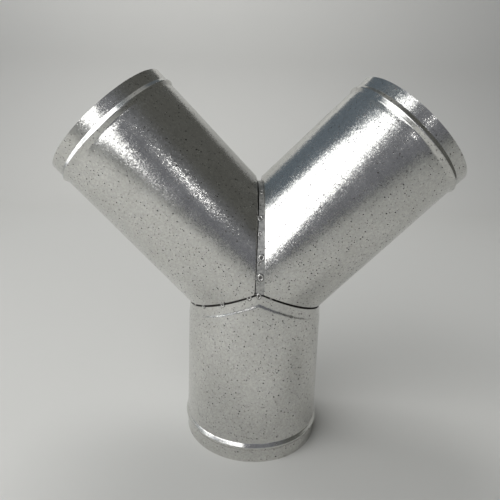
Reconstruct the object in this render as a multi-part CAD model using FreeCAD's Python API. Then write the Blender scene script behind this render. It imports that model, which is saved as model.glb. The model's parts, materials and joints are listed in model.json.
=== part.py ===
import FreeCAD, Part
import math
import os

# Round duct Y branch of galvanised sheet steel, in millimetres.
# It stands on the rim of its trunk: Z is up the trunk, both legs lie in the XZ plane.

# Sheet and tubes, and the turn round a tube at which its rolled sheet closes
sheet = 0.6
tube_diameter = 100.0
leg_angle = 45.0
trunk_length = 123.0
leg_length = 155.0
closing_line = 75.0

# Collar and rolled stop bead at each of the three ends
collar_length = 8.5
bead_height = 1.3
bead_front_run = 2.5
bead_crest_run = 0.6
bead_back_run = 2.6

# Neck of the trunk, rolled in so that it takes the turned edges of the legs
neck_step = 0.6
neck_height = 5.2
seam_gap = 1.2
flange_length = 6.0
flange_clearance = 0.1

# Lapped seam over the crotch: a valley, narrower at its top and sunk between the legs,
# where the strip of one leg covers the lap of the other
valley_width_low = 6.0
valley_width_top = 4.2
valley_sink = 4.0
strip_set_in = 0.2
strip_gap = 0.9
lap_clearance = 0.1
lap_short_of_web = 0.6
lap_end_clearance = 0.3

# Sizes that follow from those above
radius = tube_diameter / 2
half_low = valley_width_low / 2
half_top = valley_width_top / 2
seam_slope = math.radians(leg_angle / 2)
seam_drop = 1 / math.cos(seam_slope)
crotch_stretch = 1 / math.sin(math.radians(leg_angle))
crotch_rise = half_low / math.tan(math.radians(leg_angle))
neck_radius = radius - neck_step
flange_radius = neck_radius - sheet - flange_clearance
flange_bore = flange_radius - sheet
strip_radius = radius - strip_set_in
lap_radius = strip_radius - sheet - lap_clearance
strip_start = -half_low + strip_gap
reach = 2 * tube_diameter
up = FreeCAD.Vector(0, 0, 1)


def tube_profile(length, inset):
    """Half section of a tube with its collar and bead, from the rim at height 0."""
    wall = radius - inset
    crest = wall + bead_height
    front = collar_length + bead_front_run
    back = front + bead_crest_run
    end = back + bead_back_run
    corners = [(0, 0), (wall, 0), (wall, collar_length), (crest, front), (crest, back)]
    corners += [(wall, end), (wall, length), (0, length)]
    points = [FreeCAD.Vector(x, 0, z) for x, z in corners]
    return Part.Face(Part.makePolygon(points + [points[0]]))


def filled_tube(length, inset):
    """Round bar with the outline of a tube, standing on its rim."""
    bar = tube_profile(length, inset).revolve(FreeCAD.Vector(0, 0, 0), up, 360)
    bar.rotate(FreeCAD.Vector(0, 0, 0), up, closing_line)
    return bar


def upright_bar(bar_radius):
    """Plain round bar on the axis of the trunk."""
    bar = Part.makeCylinder(bar_radius, reach)
    bar.rotate(FreeCAD.Vector(0, 0, 0), up, closing_line)
    return bar


def slab(x_from, x_to):
    """All space between two planes square to X."""
    size_x = x_to - x_from
    return Part.makeBox(size_x, 2 * reach, 3 * reach, FreeCAD.Vector(x_from, -reach, -reach))


def under_seam(drop):
    """All space below the seam of trunk and legs, lowered square to the seam by drop."""
    peak = trunk_length - drop * seam_drop
    foot = peak - reach * math.tan(seam_slope)
    corners = [(-reach, -reach), (-reach, foot), (0, peak), (reach, foot), (reach, -reach)]
    points = [FreeCAD.Vector(x, -reach, z) for x, z in corners]
    side = Part.Face(Part.makePolygon(points + [points[0]]))
    return side.extrude(FreeCAD.Vector(0, 2 * reach, 0))


def leg_bar(inset, hand):
    """Filled leg tube, its rim up and out to the side that hand gives."""
    overlap = tube_diameter
    bar = filled_tube(leg_length + overlap, inset)
    bar.rotate(FreeCAD.Vector(0, 0, 0), FreeCAD.Vector(1, 0, 0), 180)
    bar.translate(FreeCAD.Vector(0, 0, leg_length))
    bar.rotate(FreeCAD.Vector(0, 0, 0), FreeCAD.Vector(0, 1, 0), hand * leg_angle)
    bar.translate(FreeCAD.Vector(0, 0, trunk_length))
    return bar


def beside_valley(hand, shift):
    """All space to one side of the valley, its border moved by shift towards that side."""
    taper = (half_top - half_low) / (radius * crotch_stretch)
    low = trunk_length - reach
    high = trunk_length + reach
    border_low = half_low - taper * reach + shift
    border_high = half_low + taper * reach + shift
    corners = [(border_low, low), (reach, low), (reach, high), (border_high, high)]
    points = [FreeCAD.Vector(hand * x, -reach, z) for x, z in corners]
    side = Part.Face(Part.makePolygon(points + [points[0]]))
    return side.extrude(FreeCAD.Vector(0, 2 * reach, 0))


def crotch_bar(bar_radius):
    """Filled oval, lying along X, that the strip over the crotch is bent round."""
    centre = FreeCAD.Vector(-tube_diameter, 0, trunk_length + crotch_rise)
    height = bar_radius * crotch_stretch - valley_sink
    tall = centre + FreeCAD.Vector(0, 0, height)
    wide = centre + FreeCAD.Vector(0, bar_radius, 0)
    oval = Part.Ellipse(tall, wide, centre).toShape()
    return Part.Face(Part.Wire(oval)).extrude(FreeCAD.Vector(2 * tube_diameter, 0, 0))


def valley_web(hand, bottom_radius):
    """Edge of a leg turned down at the border of the valley, to the strip or lap."""
    web = leg_bar(strip_set_in / 2, hand).common(beside_valley(hand, 0))
    web = web.cut(beside_valley(hand, sheet))
    return web.cut(crotch_bar(bottom_radius))


def turned_edge(x_from, x_to, leg_filling):
    """Shelf folded in along the seam and the flange turned down into the neck."""
    side = slab(x_from, x_to)
    shelf = leg_filling.common(under_seam(-sheet)).cut(under_seam(0))
    shelf = shelf.cut(upright_bar(flange_bore)).common(side)
    flange = upright_bar(flange_radius).cut(upright_bar(flange_bore))
    flange = flange.common(under_seam(-sheet / 2)).cut(under_seam(flange_length)).common(side)
    return shelf.fuse(flange)


# Trunk: rolled tube with collar and bead below, and the stepped-in neck above
body = filled_tube(reach, 0).cut(filled_tube(reach, sheet))
body = body.common(under_seam(seam_gap + neck_height))
neck = upright_bar(neck_radius).cut(upright_bar(neck_radius - sheet))
neck = neck.common(under_seam(seam_gap)).cut(under_seam(seam_gap + neck_height + sheet))
step = upright_bar(radius).cut(upright_bar(neck_radius - sheet))
step = step.common(under_seam(seam_gap + neck_height))
step = step.cut(under_seam(seam_gap + neck_height + sheet))
trunk = body.fuse([neck, step]).removeSplitter()

# Right leg: its edge at the crotch is turned down and bent to a strip that closes the valley
right_side = beside_valley(1, 0)
wall = leg_bar(0, 1).cut(leg_bar(sheet, 1)).common(right_side).cut(under_seam(0))
web = valley_web(1, strip_radius - sheet).cut(under_seam(0))
strip = crotch_bar(strip_radius).cut(crotch_bar(strip_radius - sheet))
strip = strip.cut(right_side).cut(beside_valley(-1, -strip_gap)).cut(under_seam(0))
edge = turned_edge(strip_start, reach, leg_bar(sheet / 2, 1))
right_leg = wall.fuse([web, strip, edge])

# Left leg: its edge at the crotch is turned down and laps under the strip
left_side = beside_valley(-1, 0)
wall = leg_bar(0, -1).cut(leg_bar(sheet, -1)).common(left_side).cut(under_seam(0))
web = valley_web(-1, lap_radius - sheet)
lap = crotch_bar(lap_radius).cut(crotch_bar(lap_radius - sheet))
lap = lap.cut(left_side).cut(beside_valley(1, -lap_short_of_web))
lap = lap.fuse(web).cut(under_seam(-sheet - lap_end_clearance))
edge = turned_edge(-reach, -half_low, leg_bar(sheet / 2, -1))
left_leg = wall.fuse([lap, edge]).removeSplitter()

os.makedirs("parts", exist_ok=True)
trunk.exportStep("parts/trunk.step")
left_leg.exportStep("parts/left_leg.step")
right_leg.exportStep("parts/right_leg.step")
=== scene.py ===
import json
import math

import bmesh
import bpy
from mathutils import Matrix, Vector


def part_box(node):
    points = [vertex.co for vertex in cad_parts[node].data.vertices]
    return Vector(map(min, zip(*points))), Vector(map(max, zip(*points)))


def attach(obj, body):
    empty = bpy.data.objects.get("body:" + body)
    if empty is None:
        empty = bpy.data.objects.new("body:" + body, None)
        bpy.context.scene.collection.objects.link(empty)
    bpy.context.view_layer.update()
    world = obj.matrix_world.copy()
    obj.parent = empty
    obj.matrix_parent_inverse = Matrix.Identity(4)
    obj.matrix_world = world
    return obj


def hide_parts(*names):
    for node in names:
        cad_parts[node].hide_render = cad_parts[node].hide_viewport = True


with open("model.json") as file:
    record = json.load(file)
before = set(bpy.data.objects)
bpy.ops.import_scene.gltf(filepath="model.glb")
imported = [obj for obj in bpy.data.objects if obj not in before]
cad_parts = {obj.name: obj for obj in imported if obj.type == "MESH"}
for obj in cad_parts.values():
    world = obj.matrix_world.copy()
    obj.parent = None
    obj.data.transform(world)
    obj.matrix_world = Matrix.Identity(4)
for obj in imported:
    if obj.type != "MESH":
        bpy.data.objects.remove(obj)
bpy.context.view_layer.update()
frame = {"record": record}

# Trunk
# The upright tube is rolled from galvanised sheet steel and closed by a flush weld line at its back.
# A stop bead is rolled in behind its collar. Its top is cut to the line of the seam and stepped in
# as a neck that takes the legs.
mounts = {mount["name"]: mount for mount in frame["record"]["mounts"]}
tube_radius = mounts["trunk_collar"]["dims"]["r_mm"] / 1000
sheet = tube_radius - mounts["trunk_bore"]["dims"]["r_mm"] / 1000
collar_length = mounts["trunk_collar"]["dims"]["length_mm"] / 1000
leg_mouth = Vector(mounts["right_collar"]["pos_m"])
leg_axis = Vector(mounts["right_collar"]["axis"])
leg_angle = math.atan2(leg_axis.x, leg_axis.z)
leg_length = leg_mouth.x / leg_axis.x + collar_length / 2
trunk_length = leg_mouth.z - leg_mouth.x * leg_axis.z / leg_axis.x
meeting_point = Vector((0, 0, trunk_length))
seam_slope = math.tan(leg_angle / 2)
seam_stretch = 1 / math.cos(leg_angle / 2)
bead_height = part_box("trunk")[1][0] - tube_radius
bead_front_run = 0.0025
bead_crest_run = 0.0006
bead_back_run = 0.0026
draw_in = 0.00013
wave_height = 0.00035
seam_gap = 0.0012
neck_draw = 0.00015
neck_step = 0.00045
neck_height = 0.0052
joggle_run = 0.0026
sharp_fold = math.radians(38)


def new_tree(name, sizes):
    """Starts a Geometry Nodes tree with a named number input for each size, and one for the material."""
    tree = bpy.data.node_groups.new(name, "GeometryNodeTree")
    tree.interface.new_socket("Geometry", in_out="INPUT", socket_type="NodeSocketGeometry")
    tree.interface.new_socket("Geometry", in_out="OUTPUT", socket_type="NodeSocketGeometry")
    for size in sizes:
        tree.interface.new_socket(size, in_out="INPUT", socket_type="NodeSocketFloat")
    tree.interface.new_socket("Sheet", in_out="INPUT", socket_type="NodeSocketMaterial")
    return tree, tree.nodes.new("NodeGroupInput"), tree.nodes.new("NodeGroupOutput")


def feed(tree, socket, value):
    """Links a socket to another node's output, or sets its plain value."""
    if isinstance(value, bpy.types.NodeSocket):
        tree.links.new(value, socket)
    else:
        socket.default_value = value


def calc(tree, operation, *values):
    """One Math node, given by its operation."""
    node = tree.nodes.new("ShaderNodeMath")
    node.operation = operation
    for socket, value in zip(node.inputs, values):
        feed(tree, socket, value)
    return node.outputs[0]


def ramp(tree, value, low, high, at_low, at_high, kind="LINEAR"):
    """One clamped Map Range node."""
    node = tree.nodes.new("ShaderNodeMapRange")
    node.interpolation_type = kind
    for socket, entry in zip(node.inputs, (value, low, high, at_low, at_high)):
        feed(tree, socket, entry)
    return node.outputs[0]


def rolled_tube_tree():
    """Tube round local Z with its rim at Length, a bead, and an end cut by two mitre planes."""
    columns, rim_rows, wall_rows, end_rows = 176, 80, 12, 36
    rows = rim_rows + wall_rows + end_rows
    end_zone = 0.009
    behind_bead = 0.0048
    dip_lead, dip_run_on = 0.0006, 0.0008
    wave_scale = 22
    wave_fade = 0.02
    closing_distance = 1e-6
    tree, entry, out = new_tree("rolled_tube", (
        "Radius", "Length", "Collar", "Bead Front", "Bead Crest", "Bead Back", "Bead Height", "Draw In",
        "Mitre Slope A", "Mitre Offset A", "Mitre Slope B", "Mitre Offset B",
        "Neck Draw", "Neck Step", "Neck Height", "Joggle", "Wave Height"))
    size = entry.outputs
    grid = tree.nodes.new("GeometryNodeMeshGrid")
    grid.inputs["Vertices X"].default_value = columns + 1
    grid.inputs["Vertices Y"].default_value = rows + 1
    place = tree.nodes.new("ShaderNodeSeparateXYZ")
    tree.links.new(tree.nodes.new("GeometryNodeInputPosition").outputs[0], place.inputs[0])
    turn = calc(tree, "MULTIPLY", calc(tree, "SUBTRACT", 0.5, place.outputs["X"]), 2 * math.pi)
    row = calc(tree, "MULTIPLY", calc(tree, "ADD", place.outputs["Y"], 0.5), rows)
    side = calc(tree, "COSINE", turn)
    forward = calc(tree, "SINE", turn)

    reach = calc(tree, "MULTIPLY", size["Radius"], side)
    cut_a = calc(tree, "MULTIPLY_ADD", reach, size["Mitre Slope A"], size["Mitre Offset A"])
    cut_b = calc(tree, "MULTIPLY_ADD", reach, size["Mitre Slope B"], size["Mitre Offset B"])
    cut = calc(tree, "MAXIMUM", cut_a, cut_b)
    bead_start = size["Collar"]
    bead_top = calc(tree, "ADD", bead_start, size["Bead Front"])
    bead_fall = calc(tree, "ADD", bead_top, size["Bead Crest"])
    bead_end = calc(tree, "ADD", bead_fall, size["Bead Back"])
    rim_zone = calc(tree, "ADD", bead_end, behind_bead)
    wall = calc(tree, "SUBTRACT", calc(tree, "SUBTRACT", size["Length"], cut), rim_zone)
    plain_wall = calc(tree, "SUBTRACT", wall, end_zone)
    down = ramp(tree, row, 0, rim_rows, 0, rim_zone)
    down = calc(tree, "ADD", down, ramp(tree, row, rim_rows, rim_rows + wall_rows, 0, plain_wall))
    down = calc(tree, "ADD", down, ramp(tree, row, rim_rows + wall_rows, rows, 0, end_zone))
    along = calc(tree, "SUBTRACT", size["Length"], down)

    rise = ramp(tree, down, bead_start, bead_top, 0, size["Bead Height"])
    fall = ramp(tree, down, bead_fall, bead_end, size["Bead Height"], 0)
    bead = calc(tree, "MINIMUM", rise, fall)
    dip_start = calc(tree, "SUBTRACT", bead_end, dip_lead)
    dip_full = calc(tree, "ADD", bead_end, dip_run_on)
    dip_fades = calc(tree, "ADD", bead_end, dip_lead)
    dip_in = ramp(tree, down, dip_start, dip_full, 0, 1)
    dip_out = ramp(tree, down, dip_fades, rim_zone, size["Draw In"], 0, "SMOOTHSTEP")
    bead = calc(tree, "SUBTRACT", bead, calc(tree, "MULTIPLY", dip_in, dip_out))
    wave = tree.nodes.new("ShaderNodeTexNoise")
    wave.noise_dimensions = "3D"
    wave.inputs["Scale"].default_value = wave_scale
    wave.inputs["Detail"].default_value = 0
    round_path = tree.nodes.new("ShaderNodeCombineXYZ")
    feed(tree, round_path.inputs[0], reach)
    feed(tree, round_path.inputs[1], calc(tree, "MULTIPLY", size["Radius"], forward))
    feed(tree, round_path.inputs[2], along)
    tree.links.new(round_path.outputs[0], wave.inputs["Vector"])
    to_edge = calc(tree, "DIVIDE", calc(tree, "SUBTRACT", along, cut), seam_stretch)
    sway = calc(tree, "MULTIPLY", calc(tree, "SUBTRACT", wave.outputs[0], 0.5), size["Wave Height"])
    sway = calc(tree, "MULTIPLY", sway, ramp(tree, to_edge, 0, wave_fade, 0, 1, "SMOOTHSTEP"))
    neck_end = calc(tree, "ADD", size["Neck Height"], size["Joggle"])
    neck = ramp(tree, to_edge, size["Neck Height"], neck_end, size["Neck Step"], 0, "SMOOTHSTEP")
    neck = calc(tree, "ADD", neck, ramp(tree, to_edge, 0, size["Neck Height"], size["Neck Draw"], 0))
    radius = calc(tree, "ADD", size["Radius"], calc(tree, "ADD", sway, calc(tree, "SUBTRACT", bead, neck)))

    point = tree.nodes.new("ShaderNodeCombineXYZ")
    feed(tree, point.inputs[0], calc(tree, "MULTIPLY", radius, side))
    feed(tree, point.inputs[1], calc(tree, "MULTIPLY", radius, forward))
    feed(tree, point.inputs[2], along)
    flat = tree.nodes.new("ShaderNodeCombineXYZ")
    feed(tree, flat.inputs[0], calc(tree, "MULTIPLY", size["Radius"], turn))
    feed(tree, flat.inputs[1], down)
    unrolled = tree.nodes.new("GeometryNodeStoreNamedAttribute")
    unrolled.data_type = "FLOAT2"
    unrolled.domain = "CORNER"
    unrolled.inputs["Name"].default_value = "unrolled"
    tree.links.new(grid.outputs["Mesh"], unrolled.inputs["Geometry"])
    tree.links.new(flat.outputs[0], unrolled.inputs["Value"])
    bend = tree.nodes.new("GeometryNodeSetPosition")
    tree.links.new(unrolled.outputs[0], bend.inputs["Geometry"])
    tree.links.new(point.outputs[0], bend.inputs["Position"])
    close = tree.nodes.new("GeometryNodeMergeByDistance")
    close.inputs["Distance"].default_value = closing_distance
    tree.links.new(bend.outputs[0], close.inputs["Geometry"])
    smooth = tree.nodes.new("GeometryNodeSetShadeSmooth")
    tree.links.new(close.outputs[0], smooth.inputs[0])
    coat = tree.nodes.new("GeometryNodeSetMaterial")
    tree.links.new(smooth.outputs[0], coat.inputs["Geometry"])
    tree.links.new(size["Sheet"], coat.inputs["Material"])
    tree.links.new(coat.outputs[0], out.inputs[0])
    return tree


def plain_mesh(holder):
    """Turns what an object's modifiers make into its own plain mesh."""
    bpy.context.view_layer.update()
    graph = bpy.context.evaluated_depsgraph_get()
    mesh = bpy.data.meshes.new_from_object(
        holder.evaluated_get(graph), preserve_all_data_layers=True, depsgraph=graph)
    holder.modifiers.clear()
    holder.data = mesh


def make_with(tree, name, sizes, start=None):
    """Runs a Geometry Nodes tree with the given sizes and keeps the result as a plain mesh."""
    holder = bpy.data.objects.new(name, start or bpy.data.meshes.new(name))
    bpy.context.collection.objects.link(holder)
    modifier = holder.modifiers.new("shape", "NODES")
    modifier.node_group = tree
    for item in tree.interface.items_tree:
        if item.in_out == "INPUT" and item.name in sizes:
            modifier[item.identifier] = sizes[item.name]
    plain_mesh(holder)
    if holder.data.materials[0] is None:
        holder.data.materials.pop(index=0)
    return holder


def give_thickness(piece):
    """Adds the sheet's thickness on the inside, and keeps cut edges and folds crisp."""
    wall = piece.modifiers.new("sheet", "SOLIDIFY")
    wall.thickness = sheet
    wall.offset = -1
    wall.use_even_offset = True
    wall.thickness_clamp = 1
    plain_mesh(piece)
    piece.data.set_sharp_from_angle(angle=sharp_fold)


def mixed(tree, amount, first, second):
    """One Mix node for two colours."""
    node = tree.nodes.new("ShaderNodeMix")
    node.data_type = "RGBA"
    feed(tree, node.inputs[0], amount)
    feed(tree, node.inputs[6], first)
    feed(tree, node.inputs[7], second)
    return node.outputs[2]


def galvanised(name, weld_line):
    """Smooth zinc-coated steel: fine grain, faint rolling streaks, dark specks, a flush weld line."""
    material = bpy.data.materials.new(name)
    material.use_nodes = True
    tree = material.node_tree
    steel = tree.nodes["Principled BSDF"]
    steel.inputs["Metallic"].default_value = 1
    pattern_turn = (0.6, 0.4, 0.9)
    askew = tree.nodes.new("ShaderNodeMapping")
    askew.inputs["Rotation"].default_value = pattern_turn
    tree.links.new(tree.nodes.new("ShaderNodeTexCoord").outputs["Object"], askew.inputs["Vector"])
    spot = askew.outputs[0]
    flat = tree.nodes.new("ShaderNodeUVMap")
    flat.uv_map = "unrolled"
    on_sheet = tree.nodes.new("ShaderNodeSeparateXYZ")
    tree.links.new(flat.outputs[0], on_sheet.inputs[0])
    round_tube, from_rim = on_sheet.outputs[0], on_sheet.outputs[1]

    def noise(scale, detail, vector=spot):
        node = tree.nodes.new("ShaderNodeTexNoise")
        node.inputs["Scale"].default_value = scale
        node.inputs["Detail"].default_value = detail
        tree.links.new(vector, node.inputs["Vector"])
        return node.outputs[0]

    def drawn_noise(scale, detail):
        path = tree.nodes.new("ShaderNodeMapping")
        path.inputs["Scale"].default_value = scale
        tree.links.new(flat.outputs[0], path.inputs["Vector"])
        return noise(1, detail, path.outputs[0])

    def times(value, factor):
        return calc(tree, "MULTIPLY", value, factor)

    def plus(first, second):
        return calc(tree, "ADD", first, second)

    # Zinc crystals that each lean a little, much flattened where the bead is rolled
    streak_scale, rolling_scale = (1500, 18, 1), (130, 5, 1)
    streaks = drawn_noise(streak_scale, detail=2)
    rolling = drawn_noise(rolling_scale, detail=1)
    clouds = noise(scale=45, detail=3)
    mottle = noise(scale=700, detail=2)
    bead_end = collar_length + bead_front_run + bead_crest_run + bead_back_run
    bead_lead, bead_run_on = 0.0004, 0.0006
    grain_on_bead = 0.25
    onto_bead = ramp(tree, from_rim, collar_length - bead_lead, collar_length, 0, 1)
    off_bead = ramp(tree, from_rim, bead_end, bead_end + bead_run_on, 1, 0)
    rolled_flat = ramp(tree, calc(tree, "MINIMUM", onto_bead, off_bead), 0, 1, 1, grain_on_bead)
    fine_crystals, coarse_crystals = (2600, 0.11), (900, 0.05)
    mildest, steepest = 0.3, 1.6
    facet = tree.nodes.new("ShaderNodeNewGeometry").outputs["Normal"]
    for scale, steepness in (fine_crystals, coarse_crystals):
        crystals = tree.nodes.new("ShaderNodeTexVoronoi")
        crystals.inputs["Scale"].default_value = scale
        tree.links.new(spot, crystals.inputs["Vector"])
        centred = tree.nodes.new("ShaderNodeVectorMath")
        centred.operation = "SUBTRACT"
        tree.links.new(crystals.outputs["Color"], centred.inputs[0])
        centred.inputs[1].default_value = (0.5, 0.5, 0.5)
        lean = tree.nodes.new("ShaderNodeVectorMath")
        lean.operation = "SCALE"
        tree.links.new(centred.outputs[0], lean.inputs[0])
        chance = tree.nodes.new("ShaderNodeTexWhiteNoise")
        tree.links.new(crystals.outputs["Position"], chance.inputs["Vector"])
        rarely = calc(tree, "POWER", chance.outputs["Value"], 2)
        steep = ramp(tree, rarely, 0, 1, mildest * steepness, steepest * steepness)
        feed(tree, lean.inputs["Scale"], times(rolled_flat, steep))
        leaning = tree.nodes.new("ShaderNodeVectorMath")
        tree.links.new(facet, leaning.inputs[0])
        tree.links.new(lean.outputs[0], leaning.inputs[1])
        facet = leaning.outputs[0]
    grain = tree.nodes.new("ShaderNodeVectorMath")
    grain.operation = "NORMALIZE"
    tree.links.new(facet, grain.inputs[0])
    shade = tree.nodes.new("ShaderNodeSeparateColor")
    tree.links.new(crystals.outputs["Color"], shade.inputs[0])

    # Dark specks of two sizes, a little drawn out
    drawn_out = tree.nodes.new("ShaderNodeMapping")
    speck_stretch = (1, 0.6, 0.8)
    drawn_out.inputs["Scale"].default_value = speck_stretch
    tree.links.new(spot, drawn_out.inputs["Vector"])
    large_specks, small_specks = (600, 0.2, 0.3), (1100, 0.7, 0.36)
    smallest, soft_edge, faintest = 0.03, 0.03, 0.5
    specks = 0
    for scale, rarity, largest in (large_specks, small_specks):
        cells = tree.nodes.new("ShaderNodeTexVoronoi")
        cells.inputs["Scale"].default_value = scale
        tree.links.new(drawn_out.outputs[0], cells.inputs["Vector"])
        lot = tree.nodes.new("ShaderNodeSeparateColor")
        tree.links.new(cells.outputs["Color"], lot.inputs[0])
        speck_size = ramp(tree, lot.outputs[0], rarity, 1, smallest, largest)
        inside = calc(tree, "SUBTRACT", speck_size, cells.outputs["Distance"])
        dark = ramp(tree, inside, 0, soft_edge, 0, 1)
        dark = times(dark, ramp(tree, lot.outputs[1], 0, 1, faintest, 1))
        specks = calc(tree, "MAXIMUM", specks, dark)

    # Weld line, painted shade with some real dirt in the gaps and under the turned edges, and metal that was
    # bent and handled
    line_core, line_edge = 0.0006, 0.0011
    off_line = calc(tree, "ABSOLUTE", calc(tree, "SUBTRACT", round_tube, weld_line))
    line = ramp(tree, off_line, line_core, line_edge, 1, 0)
    gap_shade_and_grime = tree.nodes.new("ShaderNodeAttribute")
    gap_shade_and_grime.attribute_name = "gap_shade_and_grime"
    shade_and_dirt = gap_shade_and_grime.outputs["Fac"]
    worked = tree.nodes.new("ShaderNodeAttribute")
    worked.attribute_name = "worked"
    bent_metal = worked.outputs["Fac"]
    handling_range = (0.35, 0.65)
    least_handled, most_handled = 0.2, 0.85
    handling = noise(scale=420, detail=2)
    handling = ramp(tree, handling, *handling_range, least_handled, most_handled)
    handled = times(bent_metal, handling)
    dents = times(bent_metal, noise(scale=320, detail=1))

    dull_zinc, bright_zinc = (0.69, 0.685, 0.65, 1), (0.77, 0.765, 0.735, 1)
    dark_crystal, dark_mottle = (0.42, 0.42, 0.43, 1), (0.50, 0.49, 0.46, 1)
    weld_tint, handled_tint = (0.5, 0.5, 0.48, 1), (0.33, 0.33, 0.32, 1)
    # The last tint here is the near-black of the painted shade in the gaps, with some real dirt
    speck_tint, shade_and_grime_tint = (0.10, 0.095, 0.09, 1), (0.035, 0.032, 0.03, 1)
    crystal_share, mottle_share, line_share = 0.4, 0.35, 0.4
    cloud_range, mottle_range, streak_range = (0.3, 0.7), (0.4, 0.65), (0.4, 0.8)
    colour = mixed(tree, ramp(tree, clouds, *cloud_range, 0, 1), dull_zinc, bright_zinc)
    colour = mixed(tree, ramp(tree, shade.outputs[1], 0, 1, 0, crystal_share), colour, dark_crystal)
    colour = mixed(tree, ramp(tree, mottle, *mottle_range, 0, mottle_share), colour, dark_mottle)
    colour = mixed(tree, times(line, line_share), colour, weld_tint)
    colour = mixed(tree, handled, colour, handled_tint)
    colour = mixed(tree, specks, colour, speck_tint)
    # Near-black tint in the gaps and turned-under edges: painted shade, with some real dirt
    colour = mixed(tree, shade_and_dirt, colour, shade_and_grime_tint)
    tree.links.new(colour, steel.inputs["Base Color"])

    smoothest, roughest, streak_rough = 0.15, 0.2, 0.05
    speck_rough, shade_and_grime_rough, bent_rough = 0.25, 0.6, 0.22
    rough = ramp(tree, clouds, *cloud_range, smoothest, roughest)
    rough = plus(rough, ramp(tree, streaks, *streak_range, 0, streak_rough))
    rough = plus(rough, times(specks, speck_rough))
    rough = calc(tree, "MAXIMUM", rough, times(shade_and_dirt, shade_and_grime_rough))
    rough = plus(rough, times(bent_metal, bent_rough))
    tree.links.new(rough, steel.inputs["Roughness"])

    relief_depth = 0.00005
    streak_rise, speck_fall, line_rise, rolling_rise, dent_rise = 0.25, 0.5, 1.5, 2.5, 4
    relief = calc(tree, "SUBTRACT", times(streaks, streak_rise), times(specks, speck_fall))
    relief = plus(relief, times(line, line_rise))
    relief = plus(relief, times(rolling, rolling_rise))
    relief = plus(relief, times(dents, dent_rise))
    bump = tree.nodes.new("ShaderNodeBump")
    bump.inputs["Distance"].default_value = relief_depth
    tree.links.new(grain.outputs[0], bump.inputs["Normal"])
    tree.links.new(relief, bump.inputs["Height"])
    tree.links.new(bump.outputs[0], steel.inputs["Normal"])
    return material


quarter_turn = tube_radius * math.pi / 2
back_to_left = galvanised("galvanised_sheet_left", quarter_turn)
back_to_right = galvanised("galvanised_sheet_right", 3 * quarter_turn)
tube_tree = rolled_tube_tree()
tube_sizes = {
    "Radius": tube_radius, "Collar": collar_length, "Bead Front": bead_front_run,
    "Bead Crest": bead_crest_run, "Bead Back": bead_back_run, "Bead Height": bead_height,
    "Draw In": draw_in, "Wave Height": wave_height}
trunk = make_with(tube_tree, "trunk_sheet", tube_sizes | {
    "Length": trunk_length, "Mitre Slope A": seam_slope, "Mitre Offset A": seam_gap * seam_stretch,
    "Mitre Slope B": -seam_slope, "Mitre Offset B": seam_gap * seam_stretch,
    "Neck Draw": neck_draw, "Neck Step": neck_step, "Neck Height": neck_height, "Joggle": joggle_run,
    "Sheet": back_to_right})
rim_down = Matrix(((1, 0, 0), (0, -1, 0), (0, 0, -1)))
trunk.data.transform(Matrix.Translation(meeting_point) @ rim_down.to_4x4())
give_thickness(trunk)
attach(trunk, "root")
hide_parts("trunk")

# Legs
# Both slanted tubes are rolled and beaded like the trunk. Along the seam their edge is turned in and
# down inside the trunk's neck. At the crotch it is bent down into a narrow valley: the right leg's edge
# runs on as a strip that closes the valley, and the left leg's edge laps under that strip.
valley_half_low = 0.0030
valley_half_top = 0.0021
valley_sink = 0.0040
valley_taper = (valley_half_top - valley_half_low) * math.sin(leg_angle) / tube_radius
valley_centre = trunk_length + valley_half_low / math.tan(leg_angle)
bend_radius = 0.000567
bend_support = 0.0003
bend_shares = (0.33, 0.67, 1)
bend_of_web = 0.8
web_shares = (0.85, 1)
strip_set_in = 0.0002
strip_gap_low = 0.0004
strip_gap_top = 0.0011
gap_opens_from, gap_open_at = 0.3, 0.8
strip_radius = tube_radius - strip_set_in
lap_clearance = 0.0001
lap_short_of_web = 0.0006
lap_radius = strip_radius - sheet - lap_clearance
fold_radius = 0.0004
fold_start = 0.3 * fold_radius
flange_length = 0.006
flange_clearance = 0.0001
flange_radius = tube_radius - neck_draw - neck_step - sheet - flange_clearance
mouth_zone = 0.001
corner_room = 0.0004
no_neck = {"Neck Draw": 0.0, "Neck Step": 0.0, "Neck Height": 0.001, "Joggle": 0.001}


def valley_half(height):
    """Half the width of the valley at a height above the floor."""
    return valley_half_low + valley_taper * (height - trunk_length)


def seam_height(x):
    """Height of the seam of trunk and legs."""
    return trunk_length - abs(x) * seam_slope


def on_valley_floor(point, bar_radius):
    """Depth and height on the sunk oval that lie below a point on the valley's border."""
    tall = tube_radius / math.sin(leg_angle)
    angle = math.atan2((point.z - valley_centre) / tall, abs(point.y) / tube_radius)
    depth = math.copysign(bar_radius * math.cos(angle), point.y)
    sunk = bar_radius / math.sin(leg_angle) - valley_sink
    return depth, max(valley_centre + sunk * math.sin(angle), seam_height(valley_half_low))


def gap_beside_strip(height):
    """Open gap between the strip's cut edge and the left leg, which closes towards the seam."""
    share = (height - trunk_length) * math.sin(leg_angle) / tube_radius
    opened = (share - gap_opens_from) / (gap_open_at - gap_opens_from)
    return strip_gap_low + (strip_gap_top - strip_gap_low) * min(max(opened, 0), 1)


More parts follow.
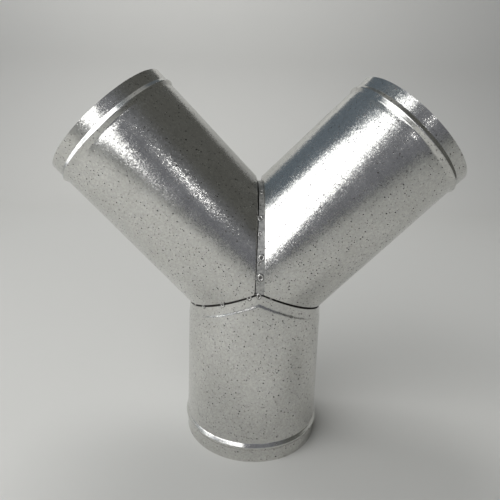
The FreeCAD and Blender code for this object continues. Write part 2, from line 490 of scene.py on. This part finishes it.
def valley_steps(hand, bar_radius, far_edge):
    """Where a point of a leg's border goes: round the bend, down the web, across to the far edge."""
    axis = Vector((hand * leg_axis.x, 0, leg_axis.z))

    def foot(point):
        depth, height = on_valley_floor(point, bar_radius)
        return Vector((hand * valley_half(height), depth, height))

    def bent(share):
        def place(point):
            from_axis = point - meeting_point
            outward = (from_axis - from_axis.dot(axis) * axis).normalized()
            inward = outward.x * outward - Vector((1, 0, 0))
            corner = point + hand * bend_radius / (1 - outward.x ** 2) * inward
            web = foot(point) - corner
            turned = corner + web * min(bend_radius / web.length, bend_of_web)
            return point.lerp(corner, share).lerp(corner.lerp(turned, share), share)
        return place

    def down(share):
        def place(point):
            return bent(1)(point).lerp(foot(point), share)
        return place

    def across(shift, from_far):
        def place(point):
            depth, height = on_valley_floor(point, bar_radius)
            near = hand * (valley_half(height) - shift)
            far = hand * (far_edge(height) + shift)
            return Vector((far if from_far else near, depth, height))
        return place

    steps = [bent(share) for share in bend_shares] + [down(share) for share in web_shares]
    return steps + [across(bend_support, False), across(bend_support, True), across(0, True)]


def seam_steps():
    """Where a point of a leg's lower edge goes: round the fold, along the shelf, down the flange."""
    def place_at(radius, drop):
        def place(point):
            share = radius / math.hypot(point.x, point.y)
            x, y = point.x * share, point.y * share
            return Vector((x, y, seam_height(x) - drop * seam_stretch))
        return place

    return [place_at(tube_radius - fold_start, -fold_start),
            place_at(tube_radius - fold_radius, 0),
            place_at(flange_radius + bend_support, 0),
            place_at(flange_radius, bend_support),
            place_at(flange_radius, flange_length)]


def fold(sheet_mesh, edges, steps, looks):
    """Carries a free edge of the sheet on through the given steps; returns the edges at its two ends."""
    made = {}

    def point_at(corner, step):
        if step < 0:
            return corner
        if (corner, step) not in made:
            made[corner, step] = sheet_mesh.verts.new(steps[step](corner.co))
            for layer, levels in looks:
                made[corner, step][layer] = levels[step]
        return made[corner, step]

    for edge in edges:
        loop = edge.link_loops[0]
        first, second = loop.link_loop_next.vert, loop.vert
        for step in range(len(steps)):
            corners = (first, step - 1), (second, step - 1), (second, step), (first, step)
            face = sheet_mesh.faces.new([point_at(*corner) for corner in corners])
            face.smooth = True
            face.material_index = loop.face.material_index
    corners = [corner for edge in edges for corner in edge.verts]
    ends = [corner for corner in corners if corners.count(corner) == 1]
    return [sheet_mesh.edges.get((point_at(end, step - 1), point_at(end, step)))
            for end in ends for step in range(len(steps))]


def make_leg(name, hand, coat, valley_fold, valley_shade_and_dirt, valley_wear):
    """One leg: the rolled tube, put in its place, with both of its folded edges."""
    # Painted shade, with some real dirt, from the seam's fold on along the shelf and the flange inside the
    # neck
    seam_shade_and_dirt = (0.25, 0.9, 1, 1, 1)
    across = math.sin(leg_angle) - valley_taper * math.cos(leg_angle)
    leg = make_with(tube_tree, name, tube_sizes | no_neck | {
        "Length": leg_length, "Mitre Slope A": -seam_slope, "Mitre Offset A": fold_radius * seam_stretch,
        "Mitre Slope B": (math.cos(leg_angle) + valley_taper * math.sin(leg_angle)) / across,
        "Mitre Offset B": (valley_half_low + bend_radius) / across, "Sheet": coat})
    axis = Vector((hand * leg_axis.x, 0, leg_axis.z))
    inner = Vector((-hand * leg_axis.z, 0, leg_axis.x))
    turned = Matrix((inner, axis.cross(inner), axis)).transposed()
    leg.data.transform(Matrix.Translation(meeting_point) @ turned.to_4x4())

    folded = bmesh.new()
    folded.from_mesh(leg.data)
    # One mask paints shade, with some real dirt, into the folds and gaps; the other marks bent and handled
    # metal
    for look in ("gap_shade_and_grime", "worked"):
        folded.verts.layers.float.new(look)
    gap_shade_and_grime = folded.verts.layers.float["gap_shade_and_grime"]
    worked = folded.verts.layers.float["worked"]

    def at_mouth(edge):
        return (edge.verts[0].co - meeting_point).dot(axis) > leg_length - mouth_zone

    def at_valley(edge):
        middle = (edge.verts[0].co + edge.verts[1].co) / 2
        return abs(middle.x) < valley_half_low + bend_radius + corner_room

    cut = [edge for edge in folded.edges if edge.is_boundary and not at_mouth(edge)]
    valley = [edge for edge in cut if at_valley(edge)]
    seam = [edge for edge in cut if not at_valley(edge)]
    strip_ends = fold(folded, valley, valley_fold, ((gap_shade_and_grime, valley_shade_and_dirt), (worked, valley_wear)))
    if hand > 0:
        seam += strip_ends
    fold(folded, seam, seam_steps(), ((gap_shade_and_grime, seam_shade_and_dirt),))
    folded.to_mesh(leg.data)
    folded.free()
    give_thickness(leg)
    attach(leg, "root")
    return leg


# Painted shade, with some real dirt, on the left leg's web and on the lap under the strip
lap_shade_and_dirt, lap_wear = (0, 0, 0, 0.6, 0.9, 1, 1, 1), (0, 0, 0, 0, 0, 0, 0, 0)
left_leg = make_leg(
    "left_leg_sheet", -1, back_to_left,
    valley_steps(-1, lap_radius, lambda height: lap_short_of_web - valley_half(height)), lap_shade_and_dirt, lap_wear)
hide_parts("left_leg")
# Faint painted shade, with some real dirt, on the right leg's web; its web and strip are marked as bent and
# handled
strip_shade_and_dirt, strip_wear = (0, 0, 0, 0.3, 0.2, 0, 0, 0), (0, 0, 0, 0.5, 1, 1, 1, 1)
right_leg = make_leg(
    "right_leg_sheet", 1, back_to_right,
    valley_steps(1, strip_radius, lambda height: gap_beside_strip(height) - valley_half(height)),
    strip_shade_and_dirt, strip_wear)
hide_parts("right_leg")

# Weld spots
# Each is a small round mark of an electrode, a raised bright ring on a burnt patch, a few millimetres
# across. They hold the strip to the lap below it and the turned edges to the neck.
ring_radius = 0.0012
ring_width = 0.0009
ring_flatness = 0.55
ring_sides = 20
ring_section_sides = 8
burnt_reach = 1.55
burnt_thickness = 0.00012
least_uneven, most_uneven = (0.75, 0.95, 0.8), (1.05, 1.25, 1.2)
uneven_seed = 4
seam_spot_sink = 0.0004

# Spots on the strip: millimetres up from the seam, millimetres across, girth
strip_spots = ((7.5, 0.3, 1.3), (6.8, -2.7, 0.55), (17.5, -0.3, 0.7), (20.5, 0.7, 1.25),
               (35.8, -0.7, 0.95), (47.0, -0.6, 1.15), (69.5, 0.9, 1.15))
back_strip_spots = ((8, 0.2, 1), (22, 0, 1), (36, 0.3, 1), (50, 0, 1), (66, 0.1, 1))

# Spots on the seam: degrees to the left from the front, millimetres below the seam, girth
seam_spots = ((62, 0.6, 0.7), (49, 0.8, 0.9), (29, 0.7, 0.9), (7.7, 0.5, 1.15),
              (0.4, 1.6, 1.15), (-9, 0.4, 0.6))
back_seam_turns = (-150, -130, -110, -90, 90, 110, 130, 150)
back_seam_drop, back_seam_girth = 0.8, 0.9


def up_the_strip(rise):
    """Angle on the strip's oval at a distance up the strip from the seam, and the oval's height."""
    tall = strip_radius / math.sin(leg_angle) - valley_sink
    angle, length, step = 0.0, 0.0, 0.002
    while length < rise:
        length += step * math.hypot(strip_radius * math.sin(angle), tall * math.cos(angle))
        angle += step
    return angle, tall


def strip_spot(rise, across, girth, side):
    """Place, facing and girth of a weld spot on the strip, on the front or back."""
    angle, tall = up_the_strip(rise / 1000)
    depth = side * strip_radius * math.cos(angle)
    place = Vector((across / 1000, depth, valley_centre + tall * math.sin(angle)))
    facing = Vector((0, side * math.cos(angle) / strip_radius, math.sin(angle) / tall)).normalized()
    return place, facing, girth


def seam_spot(turn, drop, girth):
    """Place, facing and girth of a weld spot on the seam, at a turn to the left from the front."""
    turn = math.radians(turn)
    facing = Vector((-math.sin(turn), -math.cos(turn), 0))
    place = facing * (tube_radius - seam_spot_sink)
    place.z = seam_height(place.x) - drop / 1000 * seam_stretch
    return place, facing, girth


spots = [strip_spot(*spot, -1) for spot in strip_spots] + [strip_spot(*spot, 1) for spot in back_strip_spots]
spots += [seam_spot(*spot) for spot in seam_spots]
spots += [seam_spot(turn, back_seam_drop, back_seam_girth) for turn in back_seam_turns]
marks = bpy.data.meshes.new("weld_marks")
marks.from_pydata([place for place, facing, girth in spots], [], [])
marks.attributes.new("facing", "FLOAT_VECTOR", "POINT")
marks.attributes.new("girth", "FLOAT", "POINT")
for index, (place, facing, girth) in enumerate(spots):
    marks.attributes["facing"].data[index].vector = facing
    marks.attributes["girth"].data[index].value = girth


def weld_spot_tree():
    """A ring on a burnt patch at every point, laid flat on the sheet and a little uneven."""
    tree, entry, out = new_tree("weld_spots", ("Ring Radius", "Ring Width"))
    size = entry.outputs
    tree.interface.new_socket("Burnt", in_out="INPUT", socket_type="NodeSocketMaterial")
    loop = tree.nodes.new("GeometryNodeCurvePrimitiveCircle")
    loop.inputs["Resolution"].default_value = ring_sides
    feed(tree, loop.inputs["Radius"], size["Ring Radius"])
    section = tree.nodes.new("GeometryNodeCurvePrimitiveCircle")
    section.inputs["Resolution"].default_value = ring_section_sides
    feed(tree, section.inputs["Radius"], calc(tree, "DIVIDE", size["Ring Width"], 2))
    ring = tree.nodes.new("GeometryNodeCurveToMesh")
    tree.links.new(loop.outputs[0], ring.inputs["Curve"])
    tree.links.new(section.outputs[0], ring.inputs["Profile Curve"])
    flatten = tree.nodes.new("GeometryNodeTransform")
    tree.links.new(ring.outputs[0], flatten.inputs["Geometry"])
    flatten.inputs["Scale"].default_value = (1, 1, ring_flatness)
    smooth = tree.nodes.new("GeometryNodeSetShadeSmooth")
    tree.links.new(flatten.outputs[0], smooth.inputs[0])
    ring_coat = tree.nodes.new("GeometryNodeSetMaterial")
    tree.links.new(smooth.outputs[0], ring_coat.inputs["Geometry"])
    tree.links.new(size["Sheet"], ring_coat.inputs["Material"])
    patch = tree.nodes.new("GeometryNodeMeshCylinder")
    patch.fill_type = "TRIANGLE_FAN"
    patch.inputs["Vertices"].default_value = ring_sides
    feed(tree, patch.inputs["Radius"], calc(tree, "MULTIPLY", size["Ring Radius"], burnt_reach))
    patch.inputs["Depth"].default_value = burnt_thickness
    flat_patch = tree.nodes.new("GeometryNodeSetShadeSmooth")
    flat_patch.inputs["Shade Smooth"].default_value = False
    tree.links.new(patch.outputs["Mesh"], flat_patch.inputs[0])
    patch_coat = tree.nodes.new("GeometryNodeSetMaterial")
    tree.links.new(flat_patch.outputs[0], patch_coat.inputs["Geometry"])
    tree.links.new(size["Burnt"], patch_coat.inputs["Material"])
    mark = tree.nodes.new("GeometryNodeJoinGeometry")
    tree.links.new(ring_coat.outputs[0], mark.inputs[0])
    tree.links.new(patch_coat.outputs[0], mark.inputs[0])

    facing = tree.nodes.new("GeometryNodeInputNamedAttribute")
    facing.data_type = "FLOAT_VECTOR"
    facing.inputs["Name"].default_value = "facing"
    girth = tree.nodes.new("GeometryNodeInputNamedAttribute")
    girth.inputs["Name"].default_value = "girth"
    lay_flat = tree.nodes.new("FunctionNodeAlignRotationToVector")
    tree.links.new(facing.outputs[0], lay_flat.inputs["Vector"])
    uneven = tree.nodes.new("FunctionNodeRandomValue")
    uneven.data_type = "FLOAT_VECTOR"
    uneven.inputs["Min"].default_value = least_uneven
    uneven.inputs["Max"].default_value = most_uneven
    uneven.inputs["Seed"].default_value = uneven_seed
    scale = tree.nodes.new("ShaderNodeVectorMath")
    scale.operation = "SCALE"
    tree.links.new(uneven.outputs[0], scale.inputs[0])
    tree.links.new(girth.outputs[0], scale.inputs["Scale"])
    set_out = tree.nodes.new("GeometryNodeInstanceOnPoints")
    tree.links.new(size["Geometry"], set_out.inputs["Points"])
    tree.links.new(mark.outputs[0], set_out.inputs["Instance"])
    tree.links.new(lay_flat.outputs[0], set_out.inputs["Rotation"])
    tree.links.new(scale.outputs[0], set_out.inputs["Scale"])
    real = tree.nodes.new("GeometryNodeRealizeInstances")
    tree.links.new(set_out.outputs[0], real.inputs[0])
    tree.links.new(real.outputs[0], out.inputs[0])
    return tree


def plain_material(name, tint, roughness, metallic):
    """A material of one colour."""
    material = bpy.data.materials.new(name)
    material.use_nodes = True
    surface = material.node_tree.nodes["Principled BSDF"]
    surface.inputs["Base Color"].default_value = tint
    surface.inputs["Roughness"].default_value = roughness
    surface.inputs["Metallic"].default_value = metallic
    return material


burnt = plain_material("burnt_weld", tint=(0.16, 0.155, 0.15, 1), roughness=0.45, metallic=1)
weld_spots = make_with(weld_spot_tree(), "weld_spots", {
    "Ring Radius": ring_radius, "Ring Width": ring_width, "Sheet": back_to_right, "Burnt": burnt}, marks)
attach(weld_spots, "root")

# Floor
# A plain sweep of pale paper: the floor runs to the back and curves up into a wall.
# It stands for nothing in the photo and belongs to the studio.
sweep_width = 3.2
sweep_front = -2.5
sweep_bend = 1.1
sweep_radius = 0.6
sweep_top = 1.5
bend_steps = 24
profile = [(sweep_front, 0.0), (sweep_bend, 0.0)]
for step in range(1, bend_steps + 1):
    angle = math.pi / 2 * step / bend_steps
    profile.append((sweep_bend + sweep_radius * math.sin(angle), sweep_radius * (1 - math.cos(angle))))
profile.append((sweep_bend + sweep_radius, sweep_top))
corners = [(x, y, z) for y, z in profile for x in (-sweep_width / 2, sweep_width / 2)]
panels = [(2 * i, 2 * i + 1, 2 * i + 3, 2 * i + 2) for i in range(len(profile) - 1)]
sweep_mesh = bpy.data.meshes.new("sweep")
sweep_mesh.from_pydata(corners, [], panels)
for panel in sweep_mesh.polygons:
    panel.use_smooth = True
sweep = bpy.data.objects.new("sweep", sweep_mesh)
bpy.context.collection.objects.link(sweep)
paper = plain_material("sweep_paper", tint=(0.59, 0.585, 0.56, 1), roughness=0.9, metallic=0)
sweep_mesh.materials.append(paper)

# Light
# A tall window with soft edges stands close at the left front, and a low one at the left shows in the
# metal alone. A high lamp at the left lights the floor, a small one shines from the right front, and
# one lights the backdrop. The room around them is dim.
look_at = Vector((0, 0, 0.15))


def softbox(name, place, target, width, height, radiance):
    """A plain rectangular light that faces the target, its strength given as what a mirror shows."""
    lamp = bpy.data.lights.new(name, "AREA")
    lamp.shape = "RECTANGLE"
    lamp.size = width
    lamp.size_y = height
    lamp.energy = radiance * 4 * width * height
    holder = bpy.data.objects.new(name, lamp)
    holder.location = place
    holder.rotation_euler = (target - place).to_track_quat("-Z", "Y").to_euler()
    bpy.context.collection.objects.link(holder)
    return holder


def around(turn, lift, distance):
    """A point seen from the object at a turn to the right of the camera's side and a lift above level."""
    turn, lift = math.radians(turn), math.radians(lift)
    flat = distance * math.cos(lift)
    return look_at + Vector((flat * math.sin(turn), -flat * math.cos(turn), distance * math.sin(lift)))


def soften(holder, left, right, low, top):
    """Lets a softbox fade out towards its edges, over the given shares of its width and height."""
    holder.data.use_nodes = True
    tree = holder.data.node_tree
    place = tree.nodes.new("ShaderNodeSeparateXYZ")
    tree.links.new(tree.nodes.new("ShaderNodeNewGeometry").outputs["Parametric"], place.inputs[0])
    across, up = place.outputs["X"], place.outputs["Y"]
    fade = calc(tree, "MULTIPLY", ramp(tree, across, 0, left, 0, 1, "SMOOTHSTEP"),
                ramp(tree, across, 1 - right, 1, 1, 0, "SMOOTHSTEP"))
    fade = calc(tree, "MULTIPLY", fade, ramp(tree, up, 0, low, 0, 1, "SMOOTHSTEP"))
    fade = calc(tree, "MULTIPLY", fade, ramp(tree, up, 1 - top, 1, 1, 0, "SMOOTHSTEP"))
    tree.links.new(fade, tree.nodes["Emission"].inputs["Strength"])


window_sill, window_top = 0.15, 1.6
window_place = around(turn=-48, lift=0, distance=0.85)
window_place.z = (window_sill + window_top) / 2
window_aim = Vector((look_at.x, look_at.y, window_place.z))
window_height = window_top - window_sill
window = softbox("window", window_place, window_aim, width=1.28, height=window_height, radiance=2.0)
soften(window, left=0.33, right=0.04, low=0.07, top=0.2)
daylight_place = around(turn=-60, lift=50, distance=1.9)
daylight = softbox("daylight", daylight_place, look_at, width=1.2, height=1.2, radiance=0.9)
daylight.visible_glossy = False
side_window_place = around(turn=-90, lift=0, distance=0.9)
side_window_place.z = 0.25
side_window_aim = Vector((0, 0, side_window_place.z))
side_window = softbox("side_window", side_window_place, side_window_aim, width=1.0, height=0.36, radiance=1.6)
soften(side_window, left=0.3, right=0.1, low=0.2, top=0.3)
side_window.visible_diffuse = False
far_lamp_place = around(turn=20, lift=23, distance=1.6)
softbox("far_lamp", far_lamp_place, look_at, width=0.1, height=0.1, radiance=9.0)
backdrop_lamp_place = Vector((-0.4, 0.8, 2.4))
backdrop_spot = Vector((-0.2, 1.7, 1.2))
backdrop_lamp = softbox(
    "backdrop_lamp", backdrop_lamp_place, backdrop_spot, width=1.2, height=1.2, radiance=6.0)
backdrop_lamp.visible_glossy = False

left_wall, right_wall = (0.135, 0.165, 0.195, 1), (0.105, 0.106, 0.098, 1)
front_wall, ceiling = (0.175, 0.18, 0.2, 1), (0.35, 0.35, 0.34, 1)
right_range, front_range, ceiling_range = (-0.5, 0.5), (-0.92, -0.45), (0.88, 0.99)
world = bpy.data.worlds.new("dim_room")
bpy.context.scene.world = world
world.use_nodes = True
room = world.node_tree
direction = room.nodes.new("ShaderNodeSeparateXYZ")
room.links.new(room.nodes.new("ShaderNodeTexCoord").outputs["Generated"], direction.inputs[0])
to_right = ramp(room, direction.outputs["X"], *right_range, 0, 1, "SMOOTHSTEP")
to_front = ramp(room, direction.outputs["Y"], *front_range, 1, 0, "SMOOTHSTEP")
to_ceiling = ramp(room, direction.outputs["Z"], *ceiling_range, 0, 1, "SMOOTHSTEP")
glow = mixed(room, to_right, left_wall, right_wall)
glow = mixed(room, to_front, glow, front_wall)
glow = mixed(room, to_ceiling, glow, ceiling)
room.links.new(glow, room.nodes["Background"].inputs["Color"])

# Camera
# It stands close in front, a little above the middle, and looks slightly down.
# Its place is counted in tube radii from the point where the three axes meet.
photo_width = 500
focal_pixels = 423.7
centre_x, centre_y = 243.3, 217.5
camera_turn, camera_tilt, camera_roll = math.radians(1.48), math.radians(9.52), math.radians(1.83)
camera_radii = Vector((-0.3785, -6.2611, 1.8799))
lens = bpy.data.cameras.new("camera")
lens.sensor_width = 36
lens.lens = focal_pixels * lens.sensor_width / photo_width
lens.shift_x = (photo_width / 2 - centre_x) / photo_width
lens.shift_y = (centre_y - photo_width / 2) / photo_width
camera = bpy.data.objects.new("camera", lens)
facing = Matrix.Rotation(-camera_turn, 4, "Z") @ Matrix.Rotation(math.pi / 2 - camera_tilt, 4, "X")
camera_place = meeting_point + tube_radius * camera_radii
camera.matrix_world = Matrix.Translation(camera_place) @ facing @ Matrix.Rotation(camera_roll, 4, "Z")
bpy.context.collection.objects.link(camera)
bpy.context.scene.camera = camera
bpy.context.scene.view_settings.view_transform = "Standard"
